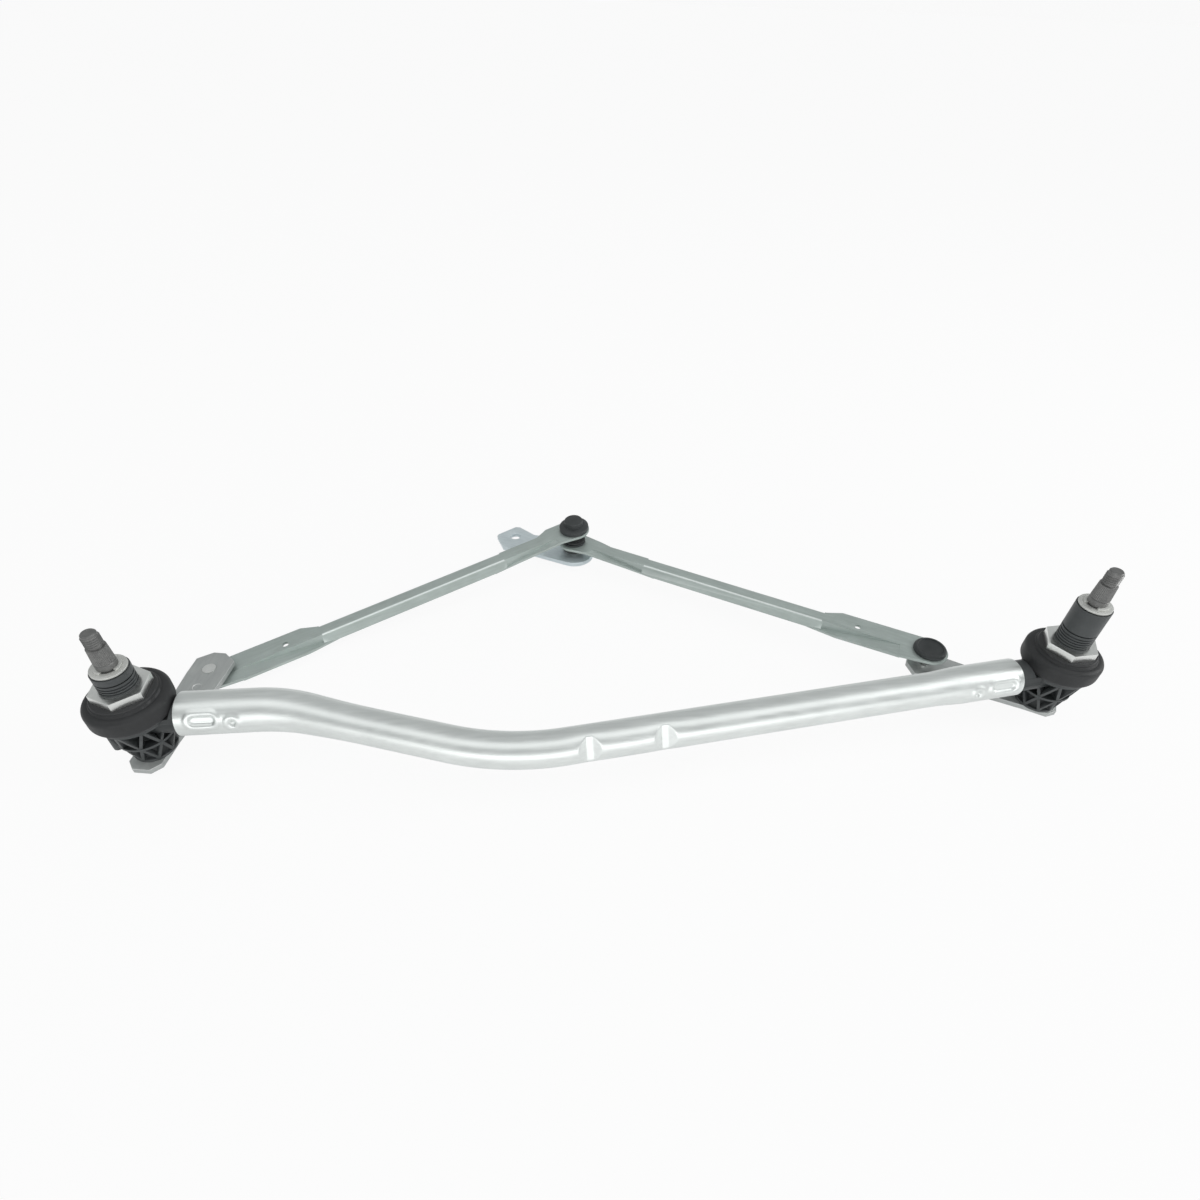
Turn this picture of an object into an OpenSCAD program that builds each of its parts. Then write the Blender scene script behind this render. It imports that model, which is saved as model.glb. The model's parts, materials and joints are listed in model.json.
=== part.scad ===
// Wiper linkage: a bent tube carries two upright spindles with levers, and two
// stamped links run from the levers to one double stud on a loose motor crank.
// Millimetres, +Z up. Origin on the left spindle's axis, at its lower end; +X runs to the right spindle.

/* [Frame tube] */
// distance between the two spindle axes
pivot_spacing = 615; // [560:1:670]
// outside diameter of the frame tube
tube_od = 23.5; // [22:0.5:24.5]
// wall of the frame tube
tube_wall = 1.5; // [1.2:0.1:2]
// height of the tube's centreline
tube_z = 36; // [34.5:0.5:37.5]
// distance from the left spindle to the tube's end
tube_end = 26.8; // [26:0.1:30]
// distance from the right spindle to the tube's end
right_tube_end = 34; // [30:0.5:38]
// where along X the first bend's corner lies
bend1_x = 89; // [80:1:105]
// where along X the second bend's corner lies
bend2_x = 230; // [215:1:250]
// how far the second corner lies in front of the spindles
tube_bow = 47; // [35:1:55]
// centreline radius of the first bend
bend1_r = 110; // [80:5:130]
// centreline radius of the second bend
bend2_r = 165; // [150:5:200]
// length of the plastic spigot inside the tube
spigot_l = 36; // [32:1:38]
// how far the tube's left end is swaged out
left_swage = 1.6; // [0.6:0.1:2]
// how far the tube's right end is swaged out
right_swage = 0.8; // [0.4:0.1:1.6]

/* [Spindles] */
// diameter of the spindle in its bushes
shaft_d = 12; // [11:0.1:12.4]
// nominal diameter of the threaded end
stud_d = 10; // [8:0.1:10.4]
// length of the threaded end
stud_l = 8; // [6:0.5:12]
// length of the knurled cone
cone_l = 14; // [12:0.5:16]
// height of the left washer's top face
left_washer_z = 80.8; // [79.5:0.1:85]
// height of the right washer's top face
right_washer_z = 98.8; // [95:0.1:104]
// outside diameter of the washers
washer_d = 19; // [18:0.1:21]
// thickness of the washers
washer_t = 1.6; // [1.2:0.1:2]

/* [Housings] */
// outside diameter of the threaded sleeve
sleeve_d = 22; // [21.4:0.1:22.6]
// height of the nut's top face
nut_top_z = 65.5; // [64.5:0.1:67]
// thickness of the hex nut
nut_t = 6; // [5:0.1:7]
// hex nut across its flats
nut_af = 30; // [28:0.5:32]
// outside diameter of the rubber disc
disc_d = 49.6; // [48:0.2:52]
// height of the rubber disc's underside
disc_z = 42.1; // [40.5:0.1:43.5]
// radius of the ribbed body under the disc
rib_top_r = 21.5; // [20:0.5:23]
// radius of the ribbed body at the lever
rib_low_r = 13.5; // [12.5:0.5:15]
// thickness of the moulded ribs
rib_t = 1.8; // [1.5:0.1:2.2]
// number of rib fields around the housing
rib_fields = 9; // [8:1:10]

/* [Levers] */
// thickness of the lever plates
lever_t = 4; // [3:0.1:4.4]
// height of the lever plates' top face
lever_top_z = 5.5; // [5.2:0.1:6.5]
// left lever, spindle to ball
left_lever_l = 70; // [64:0.5:76]
// left lever's bearing in plan
left_lever_a = 80.6; // [75:0.1:86]
// right lever, spindle to ball
right_lever_l = 78; // [72:0.5:82]
// right lever's bearing in plan
right_lever_a = 148.5; // [144:0.1:153]
// half width at the spindle
lever_hw = 10.8; // [10.2:0.1:12]
// half width at the ball
lever_ball_hw = 14.2; // [13:0.1:15]
// left lever's length beyond the spindle
left_tail = 19; // [17:0.1:20]
// right lever's length beyond the spindle
right_tail = 15; // [13:0.1:17]

/* [Links] */
// crank pin's place along X
pin_x = 288.5; // [275:0.5:302]
// crank pin's distance behind the spindles
pin_y = 205; // [190:0.5:220]
// thickness of the stamped links
link_t = 2.2; // [1.8:0.1:2.4]
// half width of the flat link ends
link_end_hw = 13.2; // [12.6:0.1:13.8]
// half width of the lever end on the near side
link_near_hw = 16; // [14:0.1:17]
// half width of the crank end on the near side
crank_near_hw = 10.6; // [10:0.1:12]
// half width of the channel's web
web_hw = 5.8; // [5.4:0.1:6.2]
// how far the channel lies off the line between its balls
web_shift = 2; // [1.4:0.1:2.4]
// depth of the channel's flanges
flange_h = 9.6; // [8.6:0.1:10]
// how far each flange leans out at its foot
flange_lean = 2; // [1:0.1:2.6]
// flat length at the lever end
flat_lever = 80; // [70:1:90]
// flat length at the crank end
flat_crank = 70; // [60:1:80]
// diameter of the pilot hole in the flat end
pilot_d = 5; // [3:0.1:5.5]

/* [Ball joints] */
// diameter of the balls
ball_d = 10; // [9:0.1:10.2]
// radial clearance of ball in socket
ball_clear = 0.08; // [0.05:0.01:0.1]
// radial clearance at the opened loop, right link on the crank pin
loop_clear = 3; // [2.4:0.1:3.2]
// outside diameter of the socket flanges
cap_d = 23.8; // [22.6:0.1:24.4]

/* [Crank] */
// thickness of the crank plate
crank_t = 4; // [3:0.1:4.4]
// crank pin to motor shaft
crank_l = 59.5; // [56:0.5:62]
// crank's bearing in plan
crank_a = 153.8; // [150:0.1:158]
// diameter of the motor shaft's hole
motor_d = 9; // [7:0.1:10]
// radius of the crank's round end
crank_r = 18; // [17:0.1:19]

/* [Hidden] */
$fn = 64;
// gap between pieces that touch in one body
seat = 0.04;
// gap between turning faces
run_gap = 0.4;
// radial clearance of a spindle in its bush
run_fit = 0.05;
steel = [0.74, 0.75, 0.74];
zinc = [0.68, 0.7, 0.69];
black = [0.12, 0.12, 0.125];
dark_steel = [0.3, 0.3, 0.31];
bronze = [0.55, 0.42, 0.25];

tube_start = max(tube_end, disc_d / 2 + 0.6);
right_start = max(right_tube_end, disc_d / 2 + 0.6);
tube_r = tube_od / 2;
tube_ir = tube_r - tube_wall;
shaft_r = shaft_d / 2;
stud_r = stud_d / 2;
sleeve_r = sleeve_d / 2;
disc_r = disc_d / 2;
ball_r = ball_d / 2;
cap_r = cap_d / 2;
washer_r = washer_d / 2;

nut_z = nut_top_z - nut_t;
lever_z = lever_top_z - lever_t;
housing_z = lever_top_z + run_gap;
left_sleeve_z = left_washer_z - washer_t - run_gap;
right_sleeve_z = right_washer_z - washer_t - run_gap;

bush_r = shaft_r + 2;
bush_l = 12;
foot_r = shaft_r - 1;
rivet_r = 3;
neck_r = 3.2;

// bend geometry of the tube's centreline
slope_a = atan2(-tube_bow, bend2_x - bend1_x);
right_a = atan2(tube_bow, pivot_spacing - bend2_x);
turn1 = -slope_a;
turn2 = right_a - slope_a;
tan1 = bend1_r * tan(turn1 / 2);
tan2 = bend2_r * tan(turn2 / 2);
slope_l = sqrt(pow(bend2_x - bend1_x, 2) + pow(tube_bow, 2));
right_l = sqrt(pow(pivot_spacing - bend2_x, 2) + pow(tube_bow, 2));

// ball and pin heights
left_ball_drop = 4.9;
right_ball_rise = 10.4;
pin_rise = 16;
ring_gap = 8;
left_ball_z = lever_z - left_ball_drop;
right_ball_z = lever_top_z + right_ball_rise;
crank_z = -3.5;
crank_top_z = crank_z + crank_t;
ring_mid_z = crank_top_z + ring_gap;
pin_ball_z = ring_mid_z + pin_rise;
pin_r = 5;
ring_r = pin_r + loop_clear;

// plan points and link placement
left_ball = [left_lever_l * cos(left_lever_a), left_lever_l * sin(left_lever_a)];
right_ball = [pivot_spacing + right_lever_l * cos(right_lever_a), right_lever_l * sin(right_lever_a)];
left_run = [pin_x - left_ball.x, pin_y - left_ball.y];
right_run = [pin_x - right_ball.x, pin_y - right_ball.y];
left_rise = pin_ball_z - left_ball_z;
right_rise = ring_mid_z - right_ball_z;
left_plan = norm(left_run);
right_plan = norm(right_run);
left_link_l = norm([left_plan, left_rise]);
right_link_l = norm([right_plan, right_rise]);

socket_r = 8.5;
hole_r = socket_r + seat;
left_web_z = 1.2;
right_web_z = 3.2;
rim_r = cap_r + 1.5;

// frames

module at_right() {
    translate([pivot_spacing, 0, 0])
        rotate([0, 0, 180 + right_a])
            children();
}

module left_link_frame() {
    translate([left_ball.x, left_ball.y, left_ball_z])
        rotate([0, 0, atan2(left_run.y, left_run.x)])
            rotate([0, -atan2(left_rise, left_plan), 0])
                children();
}

module right_link_frame() {
    translate([right_ball.x, right_ball.y, right_ball_z])
        rotate([0, 0, atan2(right_run.y, right_run.x)])
            rotate([0, -atan2(right_rise, right_plan), 0])
                children();
}

module right_run_frame() {
    translate([bend2_x, -tube_bow, tube_z])
        rotate([0, 0, right_a])
            children();
}

// frame tube

module rod_x(r, l) {
    rotate([0, 90, 0])
        cylinder(r = r, h = l);
}

// straight runs are a hair thinner and reach a little into the bends, so that the solids join cleanly
tube_lap = 1;
tube_step = 0.15;

// the tube's ends are swaged out over their spigots
swage_l = spigot_l + 1;
swage_run = 5;

module swaged_end(r, swage, over) {
    translate([-over, 0, 0])
        rod_x(r + swage, swage_l + over);
    translate([swage_l, 0, 0])
        rotate([0, 90, 0])
            cylinder(r1 = r + swage, r2 = r, h = swage_run);
}

module tube_core(r, over) {
    run_r = r - tube_step;
    translate([tube_start, 0, tube_z])
        swaged_end(run_r, left_swage, over);
    right_run_frame()
        translate([right_l - right_start, 0, 0])
            rotate([0, 0, 180])
                swaged_end(run_r, right_swage, over);
    translate([tube_start - over, 0, tube_z])
        rod_x(run_r, bend1_x - tan1 - tube_start + over + tube_lap);
    translate([bend1_x - tan1, -bend1_r, tube_z])
        rotate([0, 0, 90 - turn1])
            rotate_extrude(angle = turn1)
                translate([bend1_r, 0])
                    circle(r = r);
    translate([bend1_x, 0, tube_z])
        rotate([0, 0, slope_a])
            translate([tan1 - tube_lap, 0, 0])
                rod_x(run_r, slope_l - tan1 - tan2 + 2 * tube_lap);
    translate([bend2_x, -tube_bow, tube_z])
        rotate([0, 0, slope_a])
            translate([-tan2, bend2_r, 0])
                rotate([0, 0, -90])
                    rotate_extrude(angle = turn2)
                        translate([bend2_r, 0])
                            circle(r = r);
    right_run_frame()
        translate([tan2 - tube_lap, 0, 0])
            rod_x(run_r, right_l - tan2 - right_start + over + tube_lap);
}

crimp_w = 7;
crimp_l = 19;
crimp_d = 0.8;
dimple_r = 3.2;
crimp_roll = 30;
left_crimp_in = 11.5;
right_crimp_in = 6.5;
crimp_next = 6;
notch1_x = 51;
notch2_x = 99;
notch_w = 5;
notch_d = 3.2;
notch_slope = 6;
notch_roll = 18;

// pressed marks on the tube's front, in a frame whose +X runs along the tube
module crimp_marks(x0, dir, swage) {
    face = tube_r - tube_step + swage;
    rotate([-crimp_roll, 0, 0])
        for (side = [-1, 1]) {
            for (e = [0, 1])
                translate([x0 + dir * e * (crimp_l - crimp_w), side * (face - crimp_d), 0])
                    rotate([-90 * side, 0, 0])
                        cylinder(r = crimp_w / 2, h = tube_r);
            translate([min(x0, x0 + dir * (crimp_l - crimp_w)), side > 0 ? face - crimp_d : crimp_d - face - tube_r,
                       -crimp_w / 2])
                cube([crimp_l - crimp_w, tube_r, crimp_w]);
            translate([x0 + dir * (crimp_l + crimp_next), side * (face - crimp_d), 0])
                rotate([-90 * side, 0, 0])
                    cylinder(r = dimple_r, h = tube_r);
        }
}

// seat pressed across the tube's front; inset grows it for the wall behind
module notch(x, inset) {
    low = -tube_r + notch_d + inset;
    half = notch_w / 2 + inset;
    rotate([-notch_roll, 0, 0])
        translate([x, 0, -tube_od])
            linear_extrude(height = 2 * tube_od)
                polygon([[-half, low], [half, low], [half + notch_slope, -tube_r - notch_d],
                         [-half - notch_slope, -tube_r - notch_d]]);
}

module notches(inset) {
    right_run_frame() {
        notch(notch1_x, inset);
        notch(notch2_x, inset);
    }
}

module frame_tube() {
    color(steel)
    difference() {
        tube_core(tube_r, 0);
        difference() {
            tube_core(tube_ir, 1);
            notches(tube_wall);
        }
        translate([0, 0, tube_z])
            crimp_marks(tube_start + left_crimp_in, 1, left_swage);
        right_run_frame()
            crimp_marks(right_l - right_start - right_crimp_in, -1, right_swage);
        notches(0);
    }
}

// pivot housings, built with the tube along +X

thread_pitch = 2;
thread_depth = 0.5;

module sleeve_groove(z, depth, width) {
    translate([0, 0, z])
        difference() {
            cylinder(r = sleeve_r + 1, h = width);
            translate([0, 0, -1])
                cylinder(r = sleeve_r - depth, h = width + 2);
        }
}

rib_h = disc_z - housing_z;
barrel_r = bush_r + 3.2;
flange_t = 3;
row_h = (rib_h - flange_t) / 2;
field_a = 360 / rib_fields;
rib_tilt = atan((rib_low_r + rib_top_r) / 2 * field_a * PI / 360 / row_h);
lug_r = 3.6;
lug_l = 12;
lug_at = [-15.5, -7.5];

// slanted ribs that cross into triangles, trimmed to the tapered body
module ribs() {
    intersection() {
        union()
            for (row = [0, 1])
                for (k = [0 : 2 * rib_fields - 1])
                    rotate([0, 0, (k + 0.5) * field_a / 2])
                        translate([0, 0, housing_z + (row + 0.5) * row_h])
                            rotate([(k + row) % 2 == 0 ? rib_tilt : -rib_tilt, 0, 0])
                                translate([barrel_r - 1, -rib_t / 2, -row_h / 2])
                                    cube([rib_top_r, rib_t, row_h]);
        translate([0, 0, housing_z + 0.2])
            cylinder(r1 = rib_low_r - 0.3, r2 = rib_top_r - 0.3, h = rib_h - flange_t);
    }
}

arm_neck = 4;
spigot_wall = 3;
flat_in = 1.2;

// arm that carries the tube: a collar up to its end and a spigot inside it
module tube_arm(start, swage) {
    difference() {
        translate([0, 0, tube_z]) {
            rod_x(tube_r - 1, start - 2 * seat);
            rod_x(tube_ir + swage - tube_step - seat, start + spigot_l);
        }
        cylinder_between(disc_r + 0.3, disc_z - seat, nut_top_z);
        translate([start + arm_neck, 0, tube_z])
            rod_x(tube_ir + swage - spigot_wall, spigot_l);
        translate([0, 0, tube_z])
            spigot_flats(start, swage);
    }
}

// the tube's crimps press into these flats
module spigot_flats(start, swage) {
    rotate([-crimp_roll, 0, 0])
        for (side = [-1, 1])
            translate([start + 2, side > 0 ? tube_ir + swage - flat_in : -tube_r - swage, -crimp_w])
                cube([spigot_l, tube_wall + flat_in, 2 * crimp_w]);
}

module housing(sleeve_z, threads, start, swage) {
    difference() {
        union() {
            cylinder_between(barrel_r, housing_z, disc_z - 1);
            cylinder_between(rib_low_r, housing_z, housing_z + rib_t);
            cylinder_between((rib_low_r + rib_top_r) / 2, housing_z + row_h - rib_t / 2, housing_z + row_h + rib_t / 2);
            cylinder_between(rib_top_r, disc_z - flange_t, disc_z - seat);
            cylinder_between(sleeve_r, disc_z - flange_t, sleeve_z);
            ribs();
            tube_arm(start, swage);
            translate([lug_at.x, lug_at.y, 0])
                cylinder_between(lug_r, housing_z + row_h - lug_l / 2, housing_z + row_h + lug_l / 2);
        }
        cylinder_between(shaft_r + 0.5, housing_z - 1, sleeve_z + 1);
        cylinder_between(bush_r + seat, housing_z - 1, housing_z + bush_l);
        cylinder_between(bush_r + seat, sleeve_z - bush_l, sleeve_z + 1);
        for (k = [0 : threads - 1])
            sleeve_groove(nut_top_z + 1 + k * thread_pitch, thread_depth, thread_pitch / 2);
        sleeve_groove(nut_top_z + 1.6 + threads * thread_pitch, 2 * thread_depth, thread_depth * 2);
    }
}

module cylinder_between(r, z0, z1) {
    translate([0, 0, z0])
        cylinder(r = r, h = z1 - z0);
}

left_threads = 3;
right_threads = 5;

module left_housing() {
    color(black)
        housing(left_sleeve_z, left_threads, tube_start, left_swage);
}

module right_housing() {
    color(black)
        at_right()
            housing(right_sleeve_z, right_threads, right_start, right_swage);
}

disc_edge_r = 4;
disc_side_z = nut_z - 3;
disc_step_r = 18.5;
disc_top_z = nut_z - seat;

module rubber_disc() {
    core_r = disc_r - disc_edge_r;
    rotate_extrude()
        difference() {
            union() {
                translate([sleeve_r + seat, disc_z])
                    square([core_r - sleeve_r - seat, disc_side_z - disc_z]);
                translate([core_r - 1, disc_z + disc_edge_r])
                    square([disc_edge_r + 1, disc_side_z - disc_z - 2 * disc_edge_r]);
                translate([core_r, disc_z + disc_edge_r])
                    circle(r = disc_edge_r);
                translate([core_r, disc_side_z - disc_edge_r])
                    circle(r = disc_edge_r);
                polygon([[sleeve_r + seat, disc_side_z - 1], [core_r - 0.5, disc_side_z - 1],
                         [core_r - 0.5, disc_side_z], [disc_step_r, disc_top_z], [sleeve_r + seat, disc_top_z]]);
            }
            translate([(disc_step_r + core_r) / 2, (disc_top_z + disc_side_z) / 2 + 0.5])
                circle(r = 0.8);
        }
}

module left_disc() {
    color(black)
        rubber_disc();
}

module right_disc() {
    color(black)
        at_right()
            rubber_disc();
}

nut_corner_r = nut_af / sqrt(3);
left_nut_turn = 32.4;
right_nut_turn = 3.6;
nut_bevel = 1.2;

module hex_nut() {
    difference() {
        intersection() {
            cylinder_between_hex();
            union() {
                cylinder_between(nut_corner_r + 1, nut_z, nut_top_z - nut_bevel);
                translate([0, 0, nut_top_z - nut_bevel])
                    cylinder(r1 = nut_corner_r + 0.4, r2 = nut_af / 2 + 0.2, h = nut_bevel);
            }
        }
        cylinder_between(sleeve_r + seat, nut_z - 1, nut_top_z + 1);
    }
}

module cylinder_between_hex() {
    translate([0, 0, nut_z])
        cylinder(r = nut_corner_r, h = nut_t, $fn = 6);
}

module left_nut() {
    color(zinc)
        rotate([0, 0, left_nut_turn])
            hex_nut();
}

module right_nut() {
    color(zinc)
        translate([pivot_spacing, 0, 0])
            rotate([0, 0, right_nut_turn])
                hex_nut();
}

module bush(z) {
    translate([0, 0, z])
        difference() {
            cylinder(r = bush_r, h = bush_l - seat);
            translate([0, 0, -1])
                cylinder(r = shaft_r + run_fit, h = bush_l + 2);
        }
}

module left_bush_low() {
    color(bronze)
        bush(housing_z);
}

module left_bush_top() {
    color(bronze)
        bush(left_sleeve_z - bush_l + seat);
}

module right_bush_low() {
    color(bronze)
        at_right()
            bush(housing_z);
}

module right_bush_top() {
    color(bronze)
        at_right()
            bush(right_sleeve_z - bush_l + seat);
}

// spindles

clip_t = 1.2;
clip_r = 7.8;
clip_groove_r = shaft_r - 0.8;
clip_gap_a = 70;
cone_lift = 5.1;
cone_top_r = stud_r + 0.5;
stud_chamfer = 1;

module spindle(washer_z) {
    cone_z = washer_z + cone_lift;
    stud_z = cone_z + cone_l;
    difference() {
        union() {
            cylinder_between(foot_r, 0, lever_top_z);
            cylinder_between(shaft_r, lever_top_z, cone_z);
            translate([0, 0, cone_z])
                cylinder(r1 = shaft_r, r2 = cone_top_r, h = cone_l);
            cylinder_between(stud_r, stud_z, stud_z + stud_l - stud_chamfer);
            translate([0, 0, stud_z + stud_l - stud_chamfer])
                cylinder(r1 = stud_r, r2 = stud_r - stud_chamfer, h = stud_chamfer);
        }
        difference() {
            cylinder_between(shaft_r + 1, washer_z, washer_z + clip_t + seat);
            cylinder_between(clip_groove_r, washer_z - 1, washer_z + clip_t + 1);
        }
    }
}

module washer(z) {
    difference() {
        cylinder_between(washer_r, z - washer_t, z - seat);
        cylinder_between(shaft_r + seat, z - washer_t - 1, z + 1);
    }
}

module clip(z, a) {
    rotate([0, 0, a])
        difference() {
            cylinder_between(clip_r, z, z + clip_t);
            cylinder_between(clip_groove_r + seat, z - 1, z + clip_t + 1);
            translate([0, 0, z - 1])
                linear_extrude(height = clip_t + 2)
                    polygon([[0, 0], [2 * clip_r * cos(clip_gap_a / 2), -2 * clip_r * sin(clip_gap_a / 2)],
                             [2 * clip_r * cos(clip_gap_a / 2), 2 * clip_r * sin(clip_gap_a / 2)]]);
        }
}

left_clip_a = -70;
right_clip_a = 205;

module left_shaft() {
    color(dark_steel)
        spindle(left_washer_z);
}

module right_shaft() {
    color(dark_steel)
        translate([pivot_spacing, 0, 0])
            spindle(right_washer_z);
}

module left_washer() {
    color(zinc)
        washer(left_washer_z);
}

module right_washer() {
    color(zinc)
        translate([pivot_spacing, 0, 0])
            washer(right_washer_z);
}

module left_clip() {
    color(zinc)
        clip(left_washer_z, left_clip_a);
}

module right_clip() {
    color(zinc)
        translate([pivot_spacing, 0, 0])
            clip(right_washer_z, right_clip_a);
}

// levers, built along +X

left_nose = 16.5;
right_nose = 12;
lever_cut = 5.6;
mark_d = 6;
mark_in = 18;
mark_depth = 0.5;

module lever(l, lever_tail, lever_nose, marks) {
    difference() {
        translate([0, 0, lever_z])
            linear_extrude(height = lever_t)
                polygon([[-lever_tail, -lever_cut], [-lever_tail + lever_cut, -lever_hw],
                         [lever_cut, -lever_hw], [l - lever_cut, -lever_ball_hw],
                         [l + lever_nose - 1.3 * lever_cut, -lever_ball_hw], [l + lever_nose, -0.8 * lever_cut],
                         [l + lever_nose, 0.8 * lever_cut], [l + lever_nose - 1.3 * lever_cut, lever_ball_hw],
                         [l - lever_cut, lever_ball_hw], [lever_cut, lever_hw],
                         [-lever_tail + lever_cut, lever_hw], [-lever_tail, lever_cut]]);
        cylinder_between(foot_r + seat, lever_z - 1, lever_top_z + 1);
        translate([l, 0, 0])
            cylinder_between(rivet_r + seat, lever_z - 1, lever_top_z + 1);
        if (marks)
            translate([l - mark_in, 0, 0])
                cylinder_between(mark_d / 2, lever_top_z - mark_depth, lever_top_z + 1);
    }
}

rivet_head_r = 4.6;
rivet_head_t = 0.5;

// ball stud below the lever (dir -1) or above it (dir 1)
module ball_stud(ball_z, dir) {
    face_z = dir > 0 ? lever_top_z : lever_z;
    back_z = dir > 0 ? lever_z : lever_top_z;
    translate([0, 0, ball_z])
        sphere(r = ball_r);
    cylinder_between(neck_r, min(ball_z, face_z), max(ball_z, face_z));
    cylinder_between(rivet_r, lever_z, lever_top_z);
    translate([0, 0, dir > 0 ? back_z - rivet_head_t : back_z])
        cylinder(r = rivet_head_r, h = rivet_head_t);
}

module left_lever() {
    color(zinc)
        rotate([0, 0, left_lever_a])
            lever(left_lever_l, left_tail, left_nose, true);
}

module right_lever() {
    color(zinc)
        translate([pivot_spacing, 0, 0])
            rotate([0, 0, right_lever_a])
                lever(right_lever_l, right_tail, right_nose, false);
}

module left_ball_stud() {
    color(steel)
        translate([left_ball.x, left_ball.y, 0])
            ball_stud(left_ball_z, -1);
}

module right_ball_stud() {
    color(steel)
        translate([right_ball.x, right_ball.y, 0])
            ball_stud(right_ball_z, 1);
}

// links, built along +X with the lever-end ball at the origin

fold_r = 2.2;
neck_run = 12;
strip_start = 20;
strip_drop = 7;
near_w = web_hw - web_shift;
far_w = web_hw + web_shift;
strip_run = 12;
strip_lap = 1;
strip_step = 0.3;
neck_crank = 34;
pilot_in = 14;
pilot_side = 2.2;
ramp_a = 24;

// channel section, its top face at zero
module channel_section() {
    lean_a = atan(flange_lean / (flange_h - fold_r));
    leg = (flange_h - fold_r) / cos(lean_a);
    translate([-web_hw + fold_r, -link_t])
        square([2 * (web_hw - fold_r), link_t]);
    for (s = [-1, 1])
        translate([s * (web_hw - fold_r), -fold_r]) {
            circle(r = fold_r);
            rotate(s * lean_a)
                translate([s > 0 ? fold_r - link_t : -fold_r, -leg])
                    square([link_t, leg]);
        }
}

// edge strip that comes down beside the web until it meets the flange; near is +1 or -1 in Y
module edge_strip(flat_l, top, near, edge_hw) {
    strip_l = flat_l - strip_start;
    translate([strip_start, 0, top - link_t - strip_step])
        rotate([0, atan(strip_drop / strip_l), 0])
            linear_extrude(height = link_t)
                polygon([[-strip_lap, near * (near_w - link_t)], [-strip_lap, near * edge_hw],
                         [strip_l - neck_run, near * edge_hw], [strip_l, near * (near_w + edge_hw) / 2],
                         [strip_l + strip_run, near * near_w], [strip_l, near * (near_w - link_t)]]);
    translate([strip_start, near > 0 ? near_w - strip_step : link_t - near_w, top])
        rotate([90, 0, 0])
            linear_extrude(height = link_t - strip_step)
                polygon([[-strip_lap, 0], [strip_l + strip_lap, 0],
                         [strip_l + strip_lap, -strip_drop - link_t / 2], [-strip_lap, -link_t / 2]]);
}

// the far edge is +1 or -1 in the link's own Y
module link(l, top, far) {
    near = -far;
    chan0 = flat_lever - neck_run;
    chan1 = l - flat_crank;
    neck1 = l - neck_crank;
    edge_far = far * (far_w - strip_step);
    edge_near = near * (near_w - strip_step);
    difference() {
        union() {
            // flat ends, a hair narrower than the channel where they run into it
            translate([0, 0, top - link_t])
                linear_extrude(height = link_t)
                    union() {
                        circle(r = rim_r);
                        polygon([[0, rim_r * far], [chan0, link_end_hw * far],
                                 [flat_lever, edge_far], [flat_lever + strip_lap, edge_far],
                                 [flat_lever + strip_lap, edge_near], [strip_start + strip_lap, edge_near],
                                 [strip_start, (link_near_hw - strip_step) * near], [0, rim_r * near]]);
                    }
            translate([0, 0, top - link_t])
                linear_extrude(height = link_t)
                    union() {
                        translate([l, 0])
                            circle(r = rim_r);
                        polygon([[chan1 - strip_lap, edge_far], [neck1, edge_far],
                                 [neck1 + neck_run, link_end_hw * far], [l, rim_r * far],
                                 [l, rim_r * near], [l - strip_start, (crank_near_hw - strip_step) * near],
                                 [l - strip_start - strip_lap, edge_near], [chan1 - strip_lap, edge_near]]);
                    }
            edge_strip(flat_lever, top, near, link_near_hw);
            translate([l, 0, 0])
                rotate([0, 0, 180])
                    edge_strip(flat_crank, top, far, crank_near_hw);
            // folded channel between the flats, its flanges ramped at both ends
            difference() {
                translate([flat_lever, 0, top])
                    rotate([90, 0, 90])
                        linear_extrude(height = chan1 - flat_lever)
                            translate([far * web_shift, 0])
                                channel_section();
                translate([flat_lever, -2 * flange_h, top - link_t])
                    rotate([0, ramp_a, 0])
                        translate([-flange_h, 0, -4 * flange_h])
                            cube([flange_h, 4 * flange_h, 4 * flange_h]);
                translate([chan1, -2 * flange_h, top - link_t])
                    rotate([0, -ramp_a, 0])
                        translate([0, 0, -4 * flange_h])
                            cube([flange_h, 4 * flange_h, 4 * flange_h]);
            }
        }
        translate([0, 0, top - link_t - 1])
            cylinder(r = hole_r, h = link_t + 2);
        translate([l, 0, top - link_t - 1])
            cylinder(r = hole_r, h = link_t + 2);
        // pilot hole in the flat end
        translate([chan0 - pilot_in, far * pilot_side, top - link_t - 1])
            cylinder(r = pilot_d / 2, h = link_t + 2);
    }
}

cap_t = 2.4;
left_socket_low = -5.6;
left_pin_low = -4.3;
right_socket_low = -4;
knob_r = 8;
knob_h = 6;
plinth_r = cap_r + 1;
plinth_t = 3.4;
plinth_cone = 1.6;
ring_cap_r = socket_r + 1.8;
ring_cap_t = 1.8;
ring_low = -4.2;
dome_h = 1.2;

module left_link() {
    color(zinc)
        left_link_frame()
            link(left_link_l, left_web_z, 1);
}

module right_link() {
    color(zinc)
        right_link_frame()
            link(right_link_l, right_web_z, -1);
}

module cavity() {
    sphere(r = ball_r + ball_clear);
}

// cup that takes the left lever's ball from above
module left_lever_socket() {
    color(black)
        left_link_frame()
            difference() {
                union() {
                    cylinder_between(socket_r, left_socket_low, left_web_z + seat);
                    cylinder_between(cap_r, left_web_z + seat, left_web_z + 1.8);
                }
                cavity();
                cylinder_between(neck_r + 0.8, 0, 2 * ball_r);
            }
}

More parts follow.
